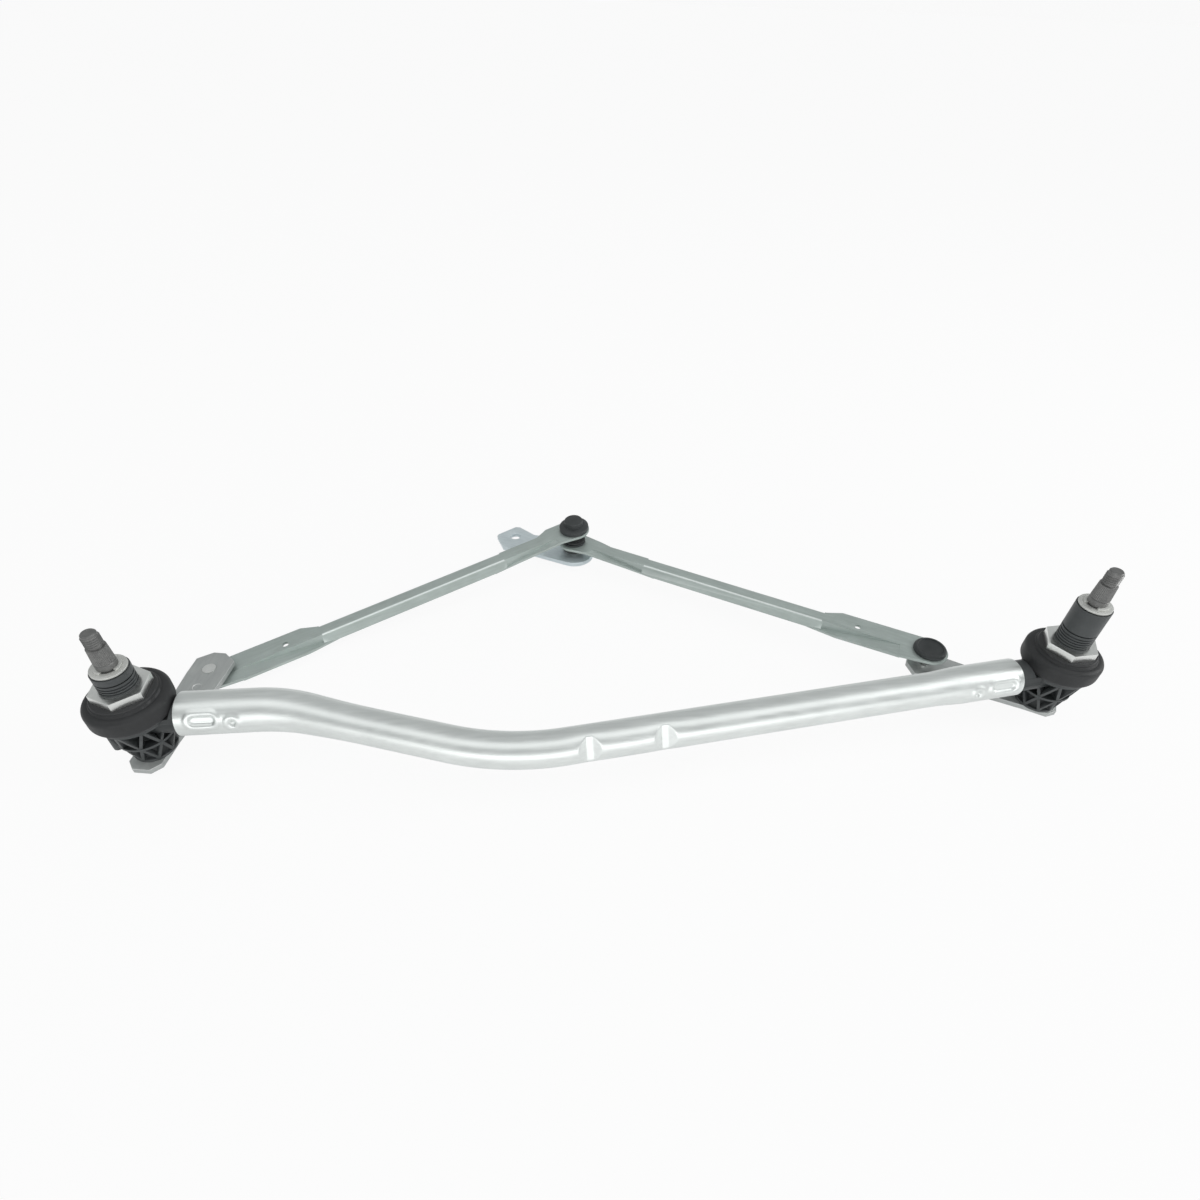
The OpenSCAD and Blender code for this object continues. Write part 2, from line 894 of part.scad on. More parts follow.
// cup over the crank pin's ball, with a knob on top
module left_pin_socket() {
    color(black)
        left_link_frame()
            translate([left_link_l, 0, 0])
                difference() {
                    union() {
                        cylinder_between(socket_r, left_pin_low, left_web_z + seat);
                        cylinder_between(plinth_r, left_web_z + seat, left_web_z + plinth_t);
                        translate([0, 0, left_web_z + plinth_t])
                            cylinder(r1 = plinth_r, r2 = knob_r + 1, h = plinth_cone);
                        cylinder_between(knob_r, left_web_z + plinth_t, left_web_z + plinth_t + knob_h);
                    }
                    cavity();
                    cylinder_between(neck_r + 0.8, -2 * ball_r, 0);
                }
}

// cap over the right lever's ball
module right_lever_socket() {
    color(black)
        right_link_frame()
            difference() {
                union() {
                    cylinder_between(socket_r, right_socket_low, right_web_z + seat);
                    cylinder_between(cap_r, right_web_z + seat, right_web_z + cap_t);
                    translate([0, 0, right_web_z + cap_t])
                        cylinder(r1 = cap_r, r2 = cap_r - dome_h, h = dome_h);
                }
                cavity();
                cylinder_between(neck_r + 0.8, -2 * ball_r, 0);
                // dished top
                cylinder_between(cap_r - 2.6, right_web_z + cap_t + 0.4, right_web_z + cap_t + 2 * dome_h);
            }
}

// loose ring on the crank pin, where the loop is open
module right_pin_ring() {
    color(black)
        right_link_frame()
            translate([right_link_l, 0, 0])
                difference() {
                    union() {
                        cylinder_between(ring_cap_r, ring_low, right_web_z - link_t - seat);
                        cylinder_between(socket_r, ring_low, right_web_z + seat);
                        cylinder_between(ring_cap_r, right_web_z + seat, right_web_z + ring_cap_t);
                    }
                    cylinder_between(ring_r, 2 * ring_low, 2 * right_web_z + ring_cap_t);
                }
}

// crank, built along +X from the pin

module crank_outline() {
    circle(r = crank_r);
    polygon([[0, -crank_r], [crank_l * 0.35, -crank_r * 0.78], [crank_l * 0.74, -crank_r * 0.5],
             [crank_l * 1.04, -crank_r * 0.83], [crank_l * 1.11, -crank_r * 0.76], [crank_l * 1.27, crank_r * 0.18],
             [crank_l * 1.27, crank_r * 0.34], [crank_l * 1.05, crank_r * 1.08], [crank_l * 0.94, crank_r * 1.08],
             [crank_l * 0.5, crank_r * 0.96], [0, crank_r]]);
}

module crank_frame() {
    translate([pin_x, pin_y, 0])
        rotate([0, 0, crank_a])
            children();
}

module crank_plate() {
    color(zinc)
        crank_frame()
            difference() {
                translate([0, 0, crank_z])
                    linear_extrude(height = crank_t)
                        crank_outline();
                cylinder_between(pin_r + seat, crank_z - 1, crank_top_z + 1);
                translate([crank_l, 0, 0])
                    cylinder_between(motor_d / 2, crank_z - 1, crank_top_z + 1);
            }
}

pin_foot_r = 6.2;
pin_head_t = 1.5;
boot_low = 5.6;
boot_top = 7.2;

module crank_pin() {
    color(steel)
        translate([pin_x, pin_y, 0]) {
            cylinder_between(pin_foot_r, crank_z - pin_head_t, crank_z - seat);
            cylinder_between(pin_r, crank_z - seat, ring_mid_z + boot_top);
            cylinder_between(neck_r, ring_mid_z + boot_low, pin_ball_z);
            translate([0, 0, pin_ball_z])
                sphere(r = ball_r);
        }
}

module pin_boot() {
    color(black)
        translate([pin_x, pin_y, 0])
            difference() {
                cylinder_between(ring_cap_r - 0.6, ring_mid_z + boot_low, ring_mid_z + boot_top);
                cylinder_between(pin_r + seat, ring_mid_z, ring_mid_z + 2 * boot_top);
            }
}

frame_tube();
left_housing();
right_housing();
left_disc();
right_disc();
left_nut();
right_nut();
left_bush_low();
left_bush_top();
right_bush_low();
right_bush_top();
left_shaft();
left_washer();
left_clip();
left_lever();
left_ball_stud();
right_shaft();
right_washer();
right_clip();
right_lever();
right_ball_stud();
left_link();
left_lever_socket();
left_pin_socket();
right_link();
right_lever_socket();
right_pin_ring();
crank_plate();
crank_pin();
pin_boot();
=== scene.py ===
import json
import logging
import math
from collections.abc import Callable, Iterator
from contextlib import contextmanager
from dataclasses import dataclass
from enum import Enum
from functools import cached_property

import bpy
from mathutils import Matrix, Vector


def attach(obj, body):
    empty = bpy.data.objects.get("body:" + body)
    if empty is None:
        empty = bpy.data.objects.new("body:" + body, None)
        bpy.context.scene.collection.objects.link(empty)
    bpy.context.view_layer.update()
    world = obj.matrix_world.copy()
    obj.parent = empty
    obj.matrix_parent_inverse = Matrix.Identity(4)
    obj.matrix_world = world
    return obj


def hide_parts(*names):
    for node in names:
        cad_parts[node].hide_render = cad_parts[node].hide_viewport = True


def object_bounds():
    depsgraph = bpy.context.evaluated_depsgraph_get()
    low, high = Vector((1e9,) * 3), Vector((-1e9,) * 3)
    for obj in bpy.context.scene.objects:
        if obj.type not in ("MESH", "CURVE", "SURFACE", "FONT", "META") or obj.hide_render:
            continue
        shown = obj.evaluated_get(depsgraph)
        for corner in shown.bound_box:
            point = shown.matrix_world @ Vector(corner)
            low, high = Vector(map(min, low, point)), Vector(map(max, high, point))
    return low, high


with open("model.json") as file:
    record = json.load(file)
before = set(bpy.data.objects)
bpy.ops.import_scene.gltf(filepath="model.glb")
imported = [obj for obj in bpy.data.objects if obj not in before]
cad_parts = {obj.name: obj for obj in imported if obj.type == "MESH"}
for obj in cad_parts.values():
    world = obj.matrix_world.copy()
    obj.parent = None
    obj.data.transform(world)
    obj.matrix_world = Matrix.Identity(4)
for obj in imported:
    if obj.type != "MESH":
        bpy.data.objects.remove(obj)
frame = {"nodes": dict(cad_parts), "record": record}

log = logging.getLogger("wiper_linkage")

# metres in a millimetre
MM = 0.001
# points that lie closer than this, in metres, become one
WELD = 0.000002
# from the left spindle to the right one, in mm
SPACING = 615.0

# three numbers: a colour, a place or a scale
Triple = tuple[float, float, float]
Socket = bpy.types.NodeSocket
Piece = bpy.types.Object

CAD_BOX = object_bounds()
BODY_OF: dict[str, str] = {
    node: body
    for body, nodes in frame["record"]["behaviour"]["bodies"].items()
    for node in nodes
}


class Side(Enum):
    """The two ends of the linkage."""

    LEFT = "left"
    RIGHT = "right"

    def node(self, name: str) -> str:
        """The CAD node's name on this side."""
        return f"{self.value}_{name}"


# finishes


class Graph:
    """A material's node tree with short calls for the nodes that the finishes use."""

    def __init__(self, name: str) -> None:
        """Makes an empty material whose shader is one Principled BSDF.

        Args:
            name: the material's name.
        """
        self.material = bpy.data.materials.new(name)
        self.material.use_nodes = True
        self.tree = self.material.node_tree
        self.shader = self.tree.nodes["Principled BSDF"]
        self.place = self.node("ShaderNodeTexCoord").outputs["Object"]

    def node(self, kind: str, **values: object) -> bpy.types.Node:
        """Adds a node.

        Args:
            kind: the node's type name.
            values: properties to set on it.

        Returns:
            The new node.
        """
        made = self.tree.nodes.new(kind)
        for key, value in values.items():
            setattr(made, key, value)
        return made

    def link(self, source: Socket, target: Socket) -> None:
        """Joins two sockets."""
        self.tree.links.new(source, target)

    def stretched(self, scale: Triple, turn: float) -> Socket:
        """Object coordinates, stretched and turned about Z.

        Args:
            scale: factor along each axis.
            turn: angle about Z in radians.

        Returns:
            The mapped vector.
        """
        mapping = self.node("ShaderNodeMapping")
        mapping.vector_type = "TEXTURE"
        mapping.inputs["Rotation"].default_value = (0.0, 0.0, turn)
        mapping.inputs["Scale"].default_value = scale
        self.link(self.place, mapping.inputs["Vector"])
        return mapping.outputs["Vector"]

    def noise(self, scale: float, detail: float, vector: Socket | None = None) -> Socket:
        """A noise value from 0 to 1.

        Args:
            scale: how fine the noise is, per metre.
            detail: octaves.
            vector: coordinates, Object ones by default.

        Returns:
            The noise's value.
        """
        made = self.node("ShaderNodeTexNoise")
        made.inputs["Scale"].default_value = scale
        made.inputs["Detail"].default_value = detail
        self.link(vector or self.place, made.inputs["Vector"])
        return made.outputs["Fac"]

    def span(self, value: Socket, low: float, high: float, start: float = 0.3, end: float = 0.7) -> Socket:
        """Maps a value's middle stretch to a range.

        Args:
            value: what is mapped.
            low: result at start.
            high: result at end.
            start: value that gives low.
            end: value that gives high.

        Returns:
            The mapped value.
        """
        made = self.node("ShaderNodeMapRange")
        made.inputs["From Min"].default_value = start
        made.inputs["From Max"].default_value = end
        made.inputs["To Min"].default_value = low
        made.inputs["To Max"].default_value = high
        self.link(value, made.inputs["Value"])
        return made.outputs["Result"]

    def blend(self, value: Socket, first: Triple | Socket, second: Triple) -> Socket:
        """A colour between two, by a value.

        Args:
            value: 0 for the first colour and 1 for the second.
            first: linear colour, or a socket that gives it.
            second: linear colour.

        Returns:
            The colour.
        """
        made = self.node("ShaderNodeMix", data_type="RGBA")
        colours = [socket for socket in made.inputs if socket.type == "RGBA"]
        if isinstance(first, Socket):
            self.link(first, colours[0])
        else:
            colours[0].default_value = (*first, 1.0)
        colours[1].default_value = (*second, 1.0)
        self.link(value, made.inputs["Factor"])
        return next(socket for socket in made.outputs if socket.type == "RGBA")

    def combined(self, operation: str, first: Socket, second: Socket) -> Socket:
        """Combines two values.

        Args:
            operation: what is done with them, as the Math node calls it.
            first: one value.
            second: the other value.

        Returns:
            The result.
        """
        made = self.node("ShaderNodeMath", operation=operation)
        self.link(first, made.inputs[0])
        self.link(second, made.inputs[1])
        return made.outputs[0]

    def times(self, first: Socket, second: Socket) -> Socket:
        """The product of two values."""
        return self.combined("MULTIPLY", first, second)

    def plus(self, first: Socket, second: Socket) -> Socket:
        """The sum of two values."""
        return self.combined("ADD", first, second)

    def bump(self, height: Socket, distance: float, strength: float) -> None:
        """Bumps the surface.

        Args:
            height: the height's pattern.
            distance: how far a height of 1 stands out, in metres.
            strength: share of the effect.
        """
        made = self.node("ShaderNodeBump")
        made.inputs["Strength"].default_value = strength
        made.inputs["Distance"].default_value = distance
        self.link(height, made.inputs["Height"])
        self.link(made.outputs["Normal"], self.shader.inputs["Normal"])

    def painted_fold_highlight_mask(self) -> Socket:
        """Where a painted highlight goes: 1 where the surface rolls over between level and upright, as on a
        fold, and 0 elsewhere.
        """
        parts = self.node("ShaderNodeSeparateXYZ")
        self.link(self.node("ShaderNodeNewGeometry").outputs["Normal"], parts.inputs["Vector"])
        off_wall = self.span(parts.outputs["Z"], 0.0, 1.0, start=0.3, end=0.55)
        off_level = self.span(parts.outputs["Z"], 1.0, 0.0, start=0.82, end=0.95)
        return self.times(off_wall, off_level)

    def crease(self) -> Socket:
        """How much an edge stands out, from 0 in the flat to 1 on a corner."""
        geometry = self.node("ShaderNodeNewGeometry")
        return self.span(geometry.outputs["Pointiness"], 0.0, 1.0, start=0.5, end=0.58)


@dataclass(frozen=True)
class MetalFinish:
    """Bare or plated metal with soft clouds, fine streaks and a faint grain, and, where an edge colour is
    given, a painted highlight along its folds and rounded edges.
    """

    name: str
    pale: Triple
    dark: Triple
    rough: tuple[float, float]
    cloud: float
    streak: Triple = (1.0, 1.0, 1.0)
    grain: float = 3000.0
    lines: float = 500.0
    bump: float = 0.000006
    metallic: float = 1.0
    # edge: colour of a painted highlight along folds and rounded edges, None for no highlight
    edge: Triple | None = None

    def material(self, turn: float) -> bpy.types.Material:
        """Makes the material.

        Args:
            turn: bearing of the streaks about Z in radians.

        Returns:
            The material.
        """
        made = Graph(self.name)
        along = made.stretched(self.streak, turn)
        cloud = made.noise(self.cloud, detail=4.0)
        lines = made.noise(self.lines, detail=2.0, vector=along)
        mixed = made.span(made.plus(cloud, lines), 0.0, 1.0, start=0.7, end=1.3)
        colour = made.blend(mixed, self.dark, self.pale)
        # paints a highlight in the edge colour on folds and rounded edges
        if self.edge:
            colour = made.blend(made.painted_fold_highlight_mask(), colour, self.edge)
        made.link(colour, made.shader.inputs["Base Color"])
        made.link(made.span(lines, *self.rough), made.shader.inputs["Roughness"])
        made.shader.inputs["Metallic"].default_value = self.metallic
        if self.bump:
            made.bump(made.noise(self.grain, detail=2.0, vector=along), self.bump, strength=0.5)
        return made.material


@dataclass(frozen=True)
class PolymerFinish:
    """Moulded plastic or rubber with a fine grain and paler worn edges."""

    name: str
    base: Triple
    worn: Triple
    rough: tuple[float, float]
    grain: float
    bump: float
    dust: float = 90.0
    specular: float = 0.4

    def material(self) -> bpy.types.Material:
        """Makes the material.

        Returns:
            The material.
        """
        made = Graph(self.name)
        dust = made.noise(self.dust, detail=5.0)
        fine = made.noise(self.grain, detail=3.0)
        wear = made.plus(made.span(dust, 0.0, 0.45), made.crease())
        tone = made.span(wear, 0.0, 1.0, start=0.0, end=1.2)
        made.link(made.blend(tone, self.base, self.worn), made.shader.inputs["Base Color"])
        made.link(made.span(dust, *self.rough), made.shader.inputs["Roughness"])
        made.shader.inputs["Specular IOR Level"].default_value = self.specular
        made.bump(fine, self.bump, strength=0.6)
        return made.material


class Finish(Enum):
    """Every finish on the linkage."""

    TUBE = MetalFinish(
        "galvanised_tube", pale=(0.91, 0.94, 0.925), dark=(0.82, 0.85, 0.835), rough=(0.35, 0.44),
        cloud=35.0, streak=(9.0, 1.0, 1.0))
    # the link's edge colour is a painted highlight along its folds
    LINK = MetalFinish(
        "passivated_link", pale=(0.52, 0.585, 0.56), dark=(0.44, 0.50, 0.475), rough=(0.28, 0.38),
        cloud=55.0, streak=(7.0, 1.0, 1.0), metallic=0.4, edge=(0.86, 0.91, 0.89))
    # the lever's edge colour is a painted highlight along its rounded edges
    LEVER = MetalFinish(
        "zinc_lever", pale=(0.54, 0.56, 0.55), dark=(0.46, 0.48, 0.475), rough=(0.36, 0.46),
        cloud=70.0, streak=(5.0, 1.0, 1.0), metallic=0.5, edge=(0.85, 0.86, 0.85))
    CRANK = MetalFinish(
        "zinc_crank", pale=(0.80, 0.88, 0.91), dark=(0.68, 0.76, 0.79), rough=(0.32, 0.42),
        cloud=70.0, streak=(5.0, 1.0, 1.0), metallic=0.5)
    BRIGHT = MetalFinish(
        "bright_plating", pale=(0.90, 0.91, 0.89), dark=(0.81, 0.82, 0.80), rough=(0.28, 0.36),
        cloud=120.0, bump=0.0)
    WASHER = MetalFinish(
        "zinc_washer", pale=(0.70, 0.705, 0.68), dark=(0.60, 0.605, 0.58), rough=(0.38, 0.48),
        cloud=120.0, bump=0.0, metallic=0.3)
    PHOSPHATE = MetalFinish(
        "phosphate_steel", pale=(0.27, 0.27, 0.265), dark=(0.20, 0.20, 0.198), rough=(0.40, 0.52),
        cloud=200.0, metallic=0.85)
    BRONZE = MetalFinish(
        "sintered_bronze", pale=(0.5, 0.36, 0.2), dark=(0.36, 0.25, 0.14), rough=(0.4, 0.55),
        cloud=400.0)
    PLASTIC = PolymerFinish(
        "moulded_black", base=(0.030, 0.034, 0.035), worn=(0.078, 0.084, 0.086), rough=(0.36, 0.5),
        grain=1800.0, bump=0.00005)
    RUBBER = PolymerFinish(
        "matte_rubber", base=(0.022, 0.023, 0.024), worn=(0.06, 0.061, 0.063), rough=(0.44, 0.6),
        grain=1200.0, bump=0.00006, specular=0.35)

    def made(self, turn: float = 0.0) -> bpy.types.Material:
        """The finish's material.

        Args:
            turn: bearing of a metal's streaks about Z in radians.

        Returns:
            A new material.
        """
        if isinstance(self.value, MetalFinish):
            return self.value.material(turn)
        return self.value.material()


# modelling


class Bench:
    """Calls on bpy.ops that every sub-assembly shares."""

    # faces that meet at less than this many degrees become one
    FLAT = 0.6
    # points within this many millimetres of the top belong to the top face
    SKIM = 0.02

    @staticmethod
    def clear() -> None:
        """Leaves nothing selected and Blender in object mode."""
        if bpy.context.object and bpy.context.object.mode != "OBJECT":
            bpy.ops.object.mode_set(mode="OBJECT")
        bpy.ops.object.select_all(action="DESELECT")

    @staticmethod
    def take(obj: Piece) -> None:
        """Selects one object alone and makes it active."""
        Bench.clear()
        obj.select_set(True)
        bpy.context.view_layer.objects.active = obj

    @staticmethod
    @contextmanager
    def edit(obj: Piece) -> Iterator[None]:
        """Edit mode on one object, left again at the end."""
        Bench.take(obj)
        bpy.ops.object.mode_set(mode="EDIT")
        yield
        bpy.ops.object.mode_set(mode="OBJECT")

    @staticmethod
    def pick(obj: Piece, test: Callable[[Vector], bool]) -> None:
        """Selects the vertices in edit mode by their place.

        Args:
            obj: the object being edited.
            test: true for a vertex that is wanted.
        """
        bpy.ops.mesh.select_mode(type="VERT")
        bpy.ops.mesh.select_all(action="DESELECT")
        bpy.ops.object.mode_set(mode="OBJECT")
        for vertex in obj.data.vertices:
            vertex.select = test(vertex.co)
        bpy.ops.object.mode_set(mode="EDIT")

    @staticmethod
    def modify(obj: Piece, kind: str, **values: object) -> None:
        """Adds a modifier and applies it.

        Args:
            obj: the object that gets it.
            kind: the modifier's type.
            values: properties to set on it.
        """
        Bench.take(obj)
        made = obj.modifiers.new(kind.lower(), kind)
        for key, value in values.items():
            setattr(made, key, value)
        bpy.ops.object.modifier_apply(modifier=made.name)

    @staticmethod
    def smooth(obj: Piece, degrees: float) -> None:
        """Smooth shading, with edges sharper than an angle kept.

        Args:
            obj: the object to shade.
            degrees: the sharp angle.
        """
        Bench.take(obj)
        bpy.ops.object.shade_smooth_by_angle(angle=math.radians(degrees))

    @staticmethod
    def named(name: str) -> Piece:
        """Names the active object, applies its place and returns it."""
        obj = bpy.context.object
        obj.name = name
        obj.data.name = name
        bpy.ops.object.transform_apply(location=True, rotation=True, scale=True)
        return obj

    @staticmethod
    def fit(obj: Piece, node: str, material: bpy.types.Material) -> Piece:
        """Puts a finished piece in a CAD node's stead.

        Args:
            obj: the piece.
            node: the CAD node that it stands for.
            material: its finish.

        Returns:
            The piece.
        """
        obj.data.materials.clear()
        obj.data.materials.append(material)
        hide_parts(node)
        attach(obj, BODY_OF[node])
        log.info("%s stands for %s, %d faces", obj.name, node, len(obj.data.polygons))
        return obj

    @staticmethod
    def copy_of(node: str, bevel: float, material: bpy.types.Material, sharp: float = 32.0,
                segments: int = 2, shaped: Callable[[Piece], None] | None = None) -> Piece:
        """A CAD node's copy with merged points and rounded edges.

        Args:
            node: the CAD node.
            bevel: the rounding's width in millimetres, 0 for none.
            material: its finish.
            sharp: edges above this many degrees are rounded.
            segments: faces across a rounding.
            shaped: what is done to the copy before its edges are rounded.

        Returns:
            The piece that stands for the node.
        """
        Bench.take(frame["nodes"][node])
        bpy.ops.object.duplicate(linked=False)
        obj = bpy.context.object
        obj.name = f"{node}_dressed"
        for key in [key for key in obj.keys() if key.startswith("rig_")]:
            del obj[key]
        obj.parent = None
        with Bench.edit(obj):
            bpy.ops.mesh.select_all(action="SELECT")
            bpy.ops.mesh.remove_doubles(threshold=WELD)
            bpy.ops.mesh.dissolve_limited(angle_limit=math.radians(Bench.FLAT))
        if shaped:
            shaped(obj)
        if bevel > 0:
            Bench.modify(obj, "BEVEL", width=bevel * MM, segments=segments, limit_method="ANGLE",
                         angle_limit=math.radians(sharp), use_clamp_overlap=True)
        Bench.smooth(obj, sharp)
        return Bench.fit(obj, node, material)

    @staticmethod
    def dish(obj: Piece, rim: float, depth: float, sharp: float) -> None:
        """Sinks the middle of a piece's flat top, steeply at first and then gently.

        Args:
            obj: the piece.
            rim: width of the rim that stays, in mm.
            depth: how far the middle goes down, in mm.
            sharp: edges above this many degrees stay sharp.
        """
        top = max(vertex.co.z for vertex in obj.data.vertices)
        steep, gentle = 0.8 * depth, 0.2 * depth
        with Bench.edit(obj):
            Bench.pick(obj, lambda p: p.z > top - Bench.SKIM * MM)
            bpy.ops.mesh.select_mode(type="FACE")
            bpy.ops.mesh.inset(thickness=rim * MM)
            bpy.ops.mesh.inset(thickness=depth * MM, depth=-steep * MM)
            bpy.ops.mesh.inset(thickness=2 * depth * MM, depth=-gentle * MM)
        Bench.smooth(obj, sharp)


# sub-assemblies


def eased(share: float) -> float:
    """A smooth fall from 1 at 0 to 0 at 1 and beyond."""
    return 0.5 + 0.5 * math.cos(math.pi * min(1.0, share))


@dataclass(frozen=True)
class Crimp:
    """An oblong pressed into a tube, with a lip around it.

    Its place, sizes and depth are in mm and its roll about the tube is in degrees. The lip's top, its half
    width and the whole reach are counted in shoulders from the oblong's edge.
    """

    at: float
    length: float
    width: float
    shoulder: float
    depth: float
    lip: float
    roll: float
    lip_top: float = 1.7
    lip_half: float = 1.4
    shoulders: float = 3.2

    @property
    def reach(self) -> float:
        """How far the crimp acts to either side, in mm."""
        return self.length / 2 + self.shoulders * self.shoulder

    def offset(self, along: float, angle: float, radius: float) -> float:
        """How far a point of the wall stands out.

        Args:
            along: the point's place along the run in mm.
            angle: its angle about the tube, in radians.
            radius: the tube's radius in mm.

        Returns:
            The offset at that point in mm, below 0 inside the crimp.
        """
        side = math.remainder(angle - math.radians(self.roll), 2 * math.pi) * radius
        beyond = max(0.0, abs(along - self.at) - (self.length - self.width) / 2)
        away = max(0.0, math.hypot(beyond, side) - self.width / 2) / self.shoulder
        return self.lip * eased(abs(away - self.lip_top) / self.lip_half) - self.depth * eased(away)


@dataclass(frozen=True)
class Seat:
    """A flat pressed straight across a tube, with a soft dip around it.

    Its place and sizes are in mm and its roll about the tube is in degrees.
    """

    at: float
    flat: float
    slope: float
    depth: float
    roll: float
    dip: float = 0.9
    lead: float = 18.0

    @property
    def reach(self) -> float:
        """How far the seat acts to either side, in mm."""
        return self.flat / 2 + self.slope

    def offset(self, along: float, angle: float, radius: float) -> float:
        """How far a point of the wall stands out.

        Args:
            along: the point's place along the run in mm.
            angle: its angle about the tube, in radians.
            radius: the tube's radius in mm.

        Returns:
            The offset at that point in mm, 0 or below.
        """
        side = math.remainder(angle - math.radians(self.roll), 2 * math.pi)
        turned = math.cos(side)
        rise = max(0.0, abs(along - self.at) - self.flat / 2) / self.slope
        plane = radius - self.depth * max(0.0, 1.0 - rise)
        dip = -self.dip * eased(math.hypot(along - self.at, side * radius) / self.lead)
        faces_it = turned > 0.01
        return min(dip, plane / turned - radius) if faces_it else dip


@dataclass(frozen=True)
class Swage:
    """An end widened over its spigot.

    The end's place, its straight length, run-out and heights are in mm and its roll is in degrees.
    """

    at: float
    straight: float
    run: float
    height: float
    oval: float
    roll: float

    def offset(self, along: float, angle: float, radius: float) -> float:
        """How far a point of the wall stands out.

        Args:
            along: the point's place along the run in mm.
            angle: its angle about the tube, in radians.
            radius: the tube's radius in mm.

        Returns:
            The offset at that point in mm, no more than a third of the radius.
        """
        share = eased(max(0.0, abs(along - self.at) - self.straight) / self.run)
        wide = math.sin(angle - math.radians(self.roll)) ** 2
        return min(radius / 3, share * (self.height + self.oval * wide))


Shape = Crimp | Seat | Swage


@dataclass
class FrameTube:
    """The bent frame tube with its crimps and the two pressed seats, in mm.

    Its rings lie coarse apart, and fine apart where it is pressed. A point that strays from the swept radius
    belongs to another run, and a hair is too short for a step.
    """

    radius: float = 11.7
    wall: float = 1.5
    height: float = 36.0
    start: float = 26.8
    right_start: float = 34.0
    corner_1: float = 89.0
    corner_2: float = 230.0
    bow: float = 47.0
    bend_1: float = 110.0
    bend_2: float = 165.0
    spacing: float = SPACING
    around: int = 128
    steps_1: int = 14
    steps_2: int = 24
    coarse: float = 4.0
    fine: float = 0.55
    hair: float = 0.001
    stray: float = 0.6
    least_move: float = 0.0001
    sharp: float = 40.0
    left_shapes: tuple[Shape, ...] = (
        Swage(at=26.8, straight=45.0, run=75.0, height=1.45, oval=1.0, roll=30.0),
        Crimp(at=43.4, length=13.0, width=3.4, shoulder=1.8, depth=1.5, lip=0.6, roll=24.0),
        Crimp(at=61.4, length=1.0, width=1.0, shoulder=2.0, depth=1.5, lip=0.6, roll=12.0),
    )
    right_shapes: tuple[Shape, ...] = (
        Swage(at=353.9, straight=40.0, run=26.0, height=0.65, oval=0.6, roll=30.0),
        Seat(at=51.0, flat=4.2, slope=6.2, depth=4.0, roll=25.0),
        Seat(at=99.0, flat=4.2, slope=6.2, depth=4.0, roll=25.0),
        Crimp(at=339.0, length=15.0, width=3.6, shoulder=1.8, depth=1.3, lip=0.5, roll=22.0),
        Crimp(at=319.3, length=1.0, width=1.0, shoulder=2.0, depth=1.4, lip=0.5, roll=10.0),
    )

    @cached_property
    def middle_bearing(self) -> float:
        """Bearing of the middle run about Z in radians."""
        return math.atan2(-self.bow, self.corner_2 - self.corner_1)

    @cached_property
    def right_bearing(self) -> float:
        """Bearing of the right run about Z in radians."""
        return math.atan2(self.bow, self.spacing - self.corner_2)

    @cached_property
    def turn_1(self) -> float:
        """How far the first bend turns, in radians."""
        return -self.middle_bearing

    @cached_property
    def turn_2(self) -> float:
        """How far the second bend turns, in radians."""
        return self.right_bearing - self.middle_bearing

    @cached_property
    def tangent_1(self) -> float:
        """From the first corner to either end of its bend, in mm."""
        return self.bend_1 * math.tan(self.turn_1 / 2)

    @cached_property
    def tangent_2(self) -> float:
        """From the second corner to either end of its bend, in mm."""
        return self.bend_2 * math.tan(self.turn_2 / 2)

    @cached_property
    def begin(self) -> float:
        """Where the first bend begins, in mm along the left run."""
        return self.corner_1 - self.tangent_1

    @cached_property
    def to_middle(self) -> Matrix:
        """From the part's frame to the middle run's, in mm."""
        corner = Matrix.Translation((self.corner_1, 0, self.height))
        return (corner @ Matrix.Rotation(self.middle_bearing, 4, "Z")).inverted()

    @cached_property
    def to_right(self) -> Matrix:
        """From the part's frame to the right run's, in mm."""
        corner = Matrix.Translation((self.corner_2, -self.bow, self.height))
        return (corner @ Matrix.Rotation(self.right_bearing, 4, "Z")).inverted()

    def build(self) -> Piece:
        """Sweeps the tube, presses it and gives it a wall.

        Returns:
            The piece that stands for the CAD tube.
        """
        obj = self.swept()
        self.press(obj)
        Bench.modify(obj, "SOLIDIFY", thickness=self.wall * MM, offset=-1.0, use_rim=True)
        Bench.smooth(obj, self.sharp)
        return Bench.fit(obj, "frame_tube", Finish.TUBE.made())

    def swept(self) -> Piece:
        """Sweeps a ring along the centreline: three straight runs and the two bends between them.

        Returns:
            The tube's outer skin.
        """
        middle = math.hypot(self.corner_2 - self.corner_1, self.bow)
        last = math.hypot(self.spacing - self.corner_2, self.bow)
        off = Matrix.Rotation(self.middle_bearing, 3, "Z") @ Vector((-self.tangent_2, self.bend_2, 0))
        Bench.clear()
        bpy.ops.mesh.primitive_circle_add(
            vertices=self.around, radius=self.radius * MM, location=(self.start * MM, 0, self.height * MM),
            rotation=(0, math.pi / 2, 0))
        obj = Bench.named("frame_tube_bent")
        with Bench.edit(obj):
            bpy.ops.mesh.select_all(action="SELECT")
            self.run(self.start, self.begin, 0.0, self.left_shapes)
            bpy.ops.mesh.spin(
                steps=self.steps_1, angle=self.turn_1, axis=(0, 0, 1),
                center=(self.begin * MM, -self.bend_1 * MM, self.height * MM))
            self.run(self.tangent_1, middle - self.tangent_2, self.middle_bearing, ())
            bpy.ops.mesh.spin(
                steps=self.steps_2, angle=-self.turn_2, axis=(0, 0, 1),
                center=((self.corner_2 + off.x) * MM, (-self.bow + off.y) * MM, self.height * MM))
            self.run(self.tangent_2, last - self.right_start, self.right_bearing, self.right_shapes)
            bpy.ops.mesh.select_all(action="SELECT")
            bpy.ops.mesh.remove_doubles(threshold=WELD)
            bpy.ops.mesh.normals_make_consistent(inside=False)
        return obj

